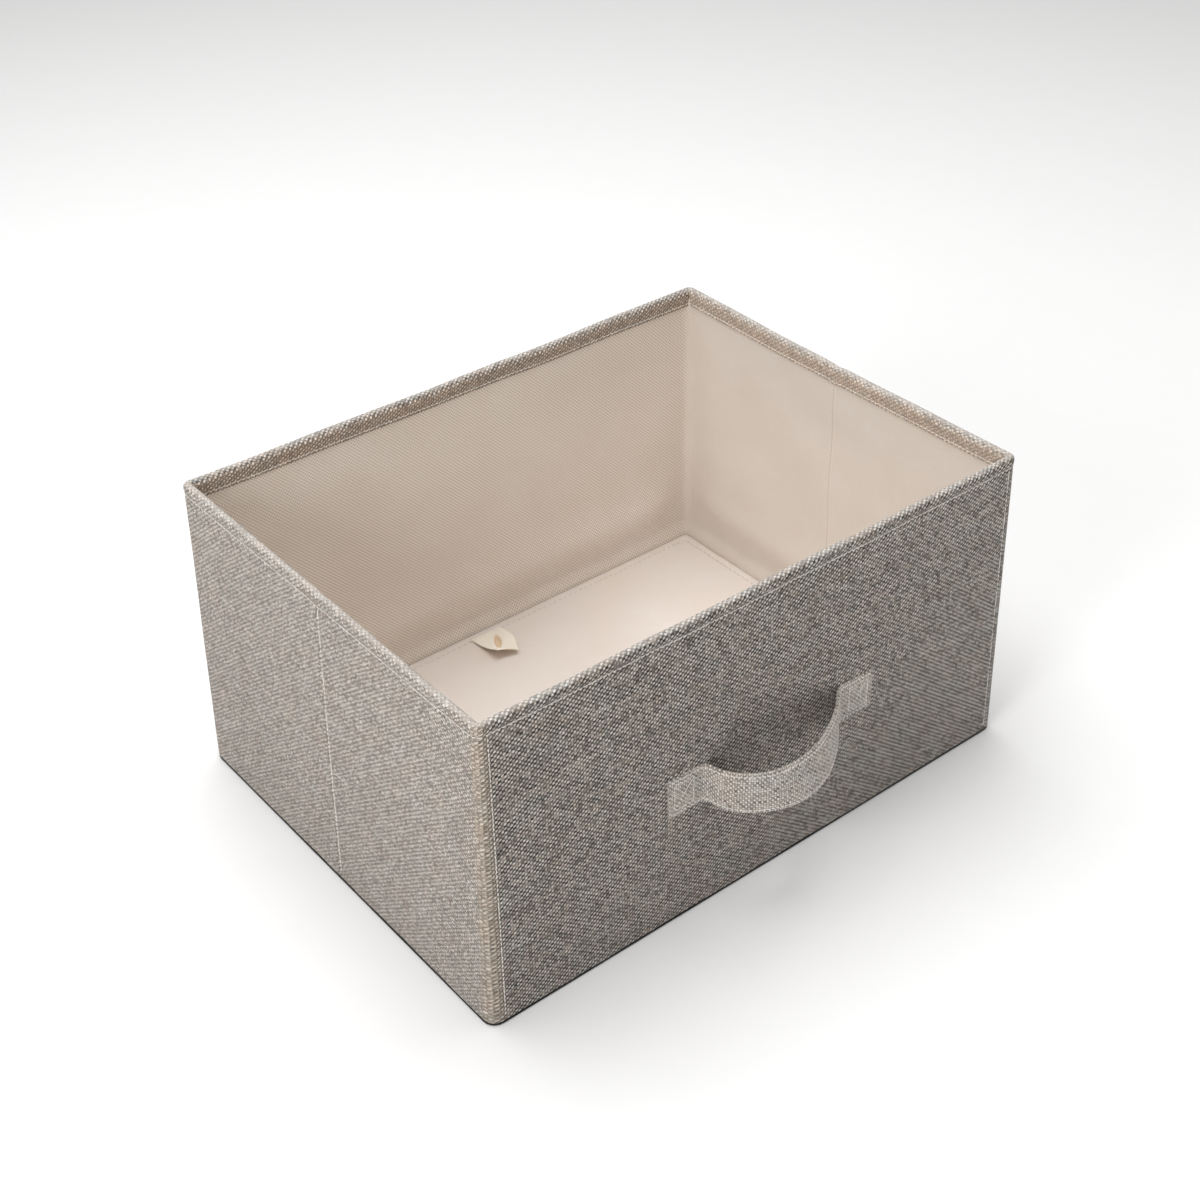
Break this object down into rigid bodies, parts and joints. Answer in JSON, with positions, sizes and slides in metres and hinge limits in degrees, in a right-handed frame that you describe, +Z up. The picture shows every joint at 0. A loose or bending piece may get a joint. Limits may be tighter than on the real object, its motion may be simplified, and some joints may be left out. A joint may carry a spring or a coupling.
{
  "type": "fabric storage bin",
  "caption": "Open box-shaped fabric storage bin with stiffened walls, folded rim hem, webbing handle on the long front wall and a loose covered base board with a pull tab.",
  "frame": {"origin": "centre of the underside", "axes": "+X along the long front wall, -Y out of the front wall with the handle, +Z up"},
  "size_m": [0.4016, 0.3339, 0.206],
  "materials": {
    "linen_cloth": "grey-beige heather linen-look plain weave, matt",
    "strap_webbing": "folded strap of the same linen-look cloth, edge-stitched, matt",
    "lining_felt": "cream non-woven with fine diagonal embossed dots, matt",
    "cover_felt": "cream non-woven base cover, matt",
    "bottom_felt": "dark non-woven bottom, matt",
    "stiffener_board": "grey pressed fibre board, matt",
    "pale_thread": "pale polyester sewing thread",
    "cream_thread": "cream polyester sewing thread"
  },
  "bodies": {
    "shell": {"outer_front": "linen_cloth", "lining_front": "lining_felt", "outer_back": "linen_cloth", "lining_back": "lining_felt", "outer_left": "linen_cloth", "lining_left": "lining_felt", "outer_right": "linen_cloth", "lining_right": "lining_felt", "board_front": "stiffener_board", "corner_front_left": "linen_cloth", "corner_thread_front_left": "pale_thread", "corner_front_right": "linen_cloth", "corner_thread_front_right": "pale_thread", "board_back": "stiffener_board", "corner_back_left": "linen_cloth", "corner_thread_back_left": "pale_thread", "corner_back_right": "linen_cloth", "corner_thread_back_right": "pale_thread", "board_left_front": "stiffener_board", "board_left_rear": "stiffener_board", "fold_thread_left": "pale_thread", "handle_end_left": "strap_webbing", "box_stitch_left": "pale_thread", "board_right_front": "stiffener_board", "board_right_rear": "stiffener_board", "fold_thread_right": "pale_thread", "handle_end_right": "strap_webbing", "box_stitch_right": "pale_thread", "rim_thread": "pale_thread", "hem_thread": "cream_thread", "bottom_panel": "bottom_felt"},
    "handle": {"handle_grip": "strap_webbing", "grip_thread_top": "pale_thread", "grip_thread_bottom": "pale_thread"},
    "insert": {"insert_board": "stiffener_board", "insert_cover_lower": "cover_felt", "insert_cover_upper": "cover_felt", "insert_thread": "cream_thread", "tab_bar_stitch": "cream_thread"},
    "tab": {"pull_tab": "cover_felt"}
  },
  "joints": [
    {"name": "handle_swing", "type": "hinge", "parent": "shell", "child": "handle", "pos_m": [0.003, -0.1504, 0.093], "axis": [-1, 0, 0], "range_deg": [-45, 45], "deforming": ["handle_end_left", "handle_end_right"]},
    {"name": "insert_lift", "type": "slide", "parent": "shell", "child": "insert", "axis": [0, 0, 1], "range_m": [0, 0.26]},
    {"name": "tab_lift", "type": "hinge", "parent": "insert", "child": "tab", "pos_m": [0.002, 0.1295, 0.0078], "axis": [-1, 0, 0], "range_deg": [-4, 75]}
  ]
}
